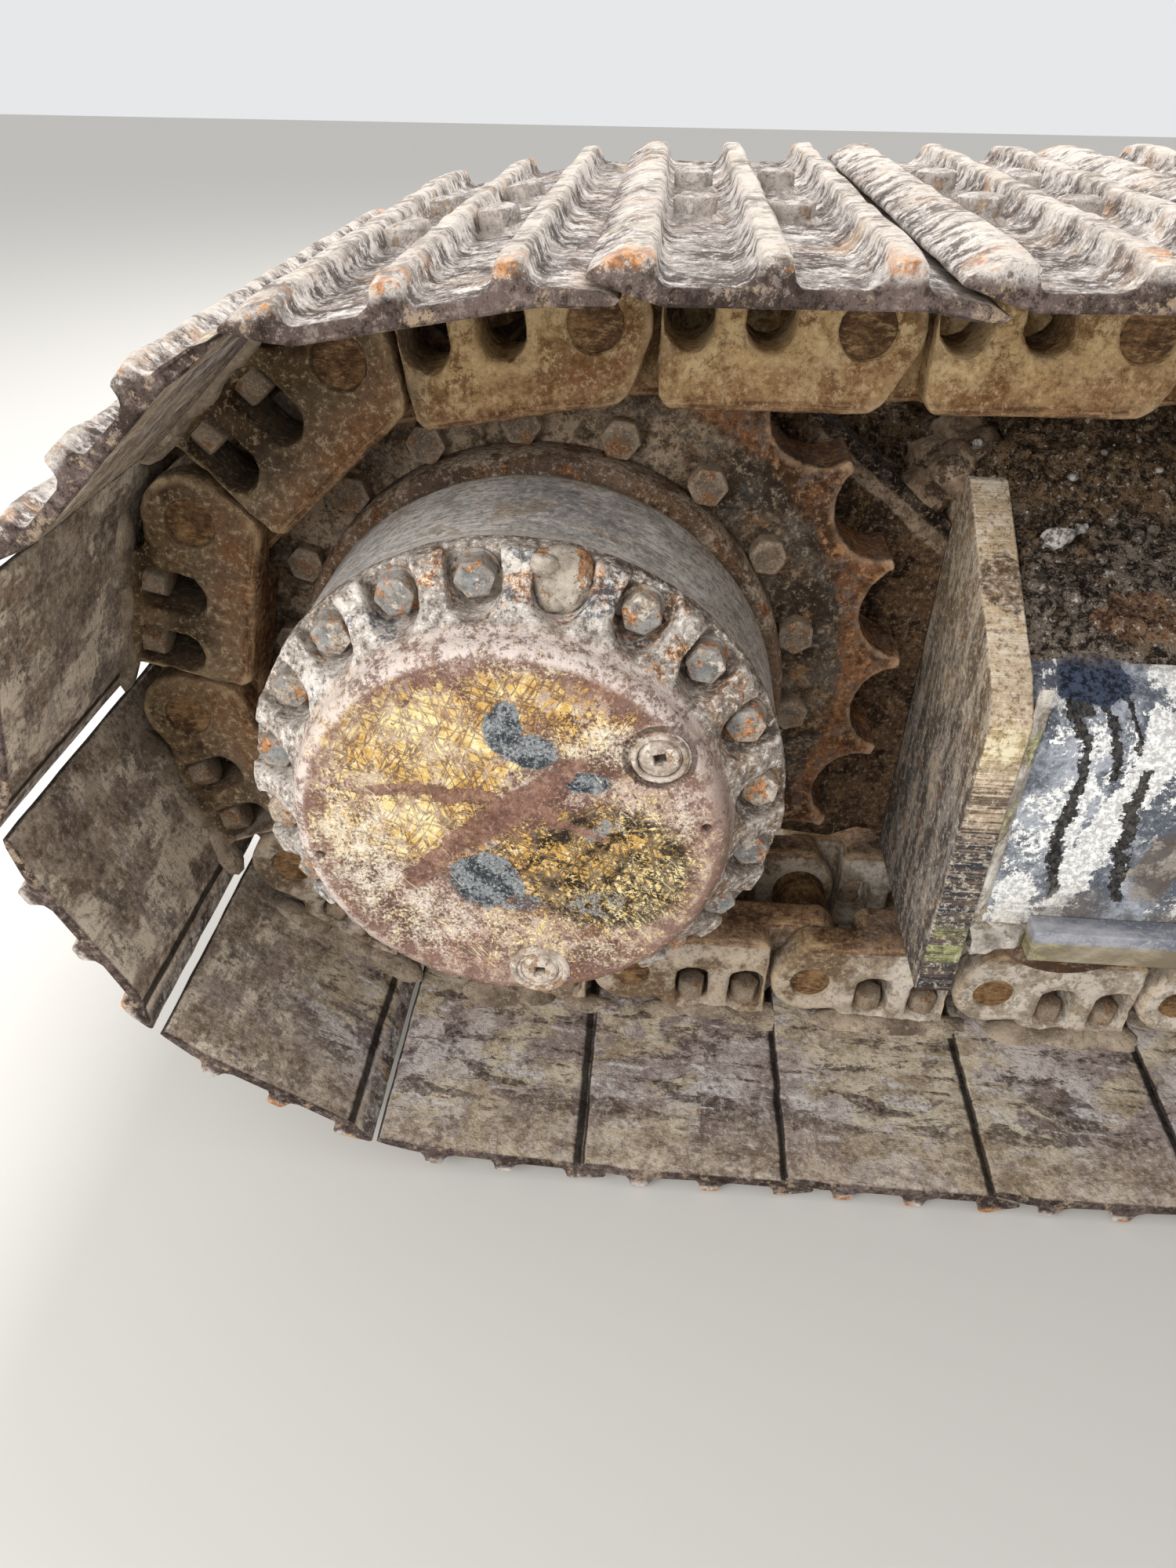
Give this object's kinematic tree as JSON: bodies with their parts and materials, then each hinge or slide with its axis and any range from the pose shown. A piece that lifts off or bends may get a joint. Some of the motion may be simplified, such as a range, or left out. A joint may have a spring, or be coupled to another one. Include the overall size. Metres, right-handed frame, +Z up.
{
  "type": "excavator track unit",
  "caption": "Track unit for one side of a crawler excavator: side frame, final drive, toothed sprocket, idler, rollers and triple-grouser track, with bolting pads for the car body",
  "frame": {"origin": "middle of the footprint, on the ground under the grousers", "axes": "+X along the track from the final drive to the idler, +Y towards the car body, +Z up"},
  "size_m": [4.6211, 0.82, 0.94],
  "materials": {
    "shoe_steel": "worn steel, rusty edges, dried mud",
    "link_steel": "forged steel, khaki dust over rust",
    "pin_steel": "ground steel, rusty ends",
    "sprocket_steel": "worn steel, orange rust on the teeth",
    "hub_iron": "cast iron, dark dust",
    "housing_iron": "cast iron, streaks of dried mud",
    "cover_paint": "yellow paint worn to mauve-brown metal",
    "plug_steel": "dusty steel",
    "motor_paint": "dark paint, dusty",
    "union_steel": "zinc-coated steel",
    "guard_steel": "dark paint under soil",
    "frame_paint": "blue-grey paint, white streaks of mud",
    "end_steel": "flame-cut plate, brown dust",
    "skirt_paint": "yellow-green tinted paint",
    "ledge_paint": "dark blue paint",
    "roller_steel": "worn steel",
    "bracket_steel": "dusty paint",
    "pad_steel": "machined steel face"
  },
  "bodies": {
    "root": {"track_shoes": "shoe_steel", "track_links_outer": "link_steel", "track_links_inner": "link_steel", "track_pins": "pin_steel", "sprocket": "sprocket_steel", "drive_hub": "hub_iron", "gear_housing": "housing_iron", "drive_cover": "cover_paint", "cover_plugs": "plug_steel", "drive_mount": "end_steel", "travel_motor": "motor_paint", "motor_ports": "union_steel", "motor_guard": "guard_steel", "side_frame": "frame_paint", "end_plate": "end_steel", "roller_rails": "frame_paint", "outer_guard": "skirt_paint", "inner_guard": "skirt_paint", "side_ledge": "ledge_paint", "access_cover": "frame_paint", "tie_down_eye": "end_steel", "front_head": "frame_paint", "bottom_rollers": "roller_steel", "roller_shafts": "bracket_steel", "carrier_rollers": "roller_steel", "carrier_brackets": "bracket_steel", "idler": "roller_steel", "idler_blocks": "bracket_steel", "recoil_rod": "bracket_steel", "rear_leg": "frame_paint", "front_leg": "frame_paint", "rear_pad": "pad_steel", "front_pad": "pad_steel"}
  },
  "joints": []
}
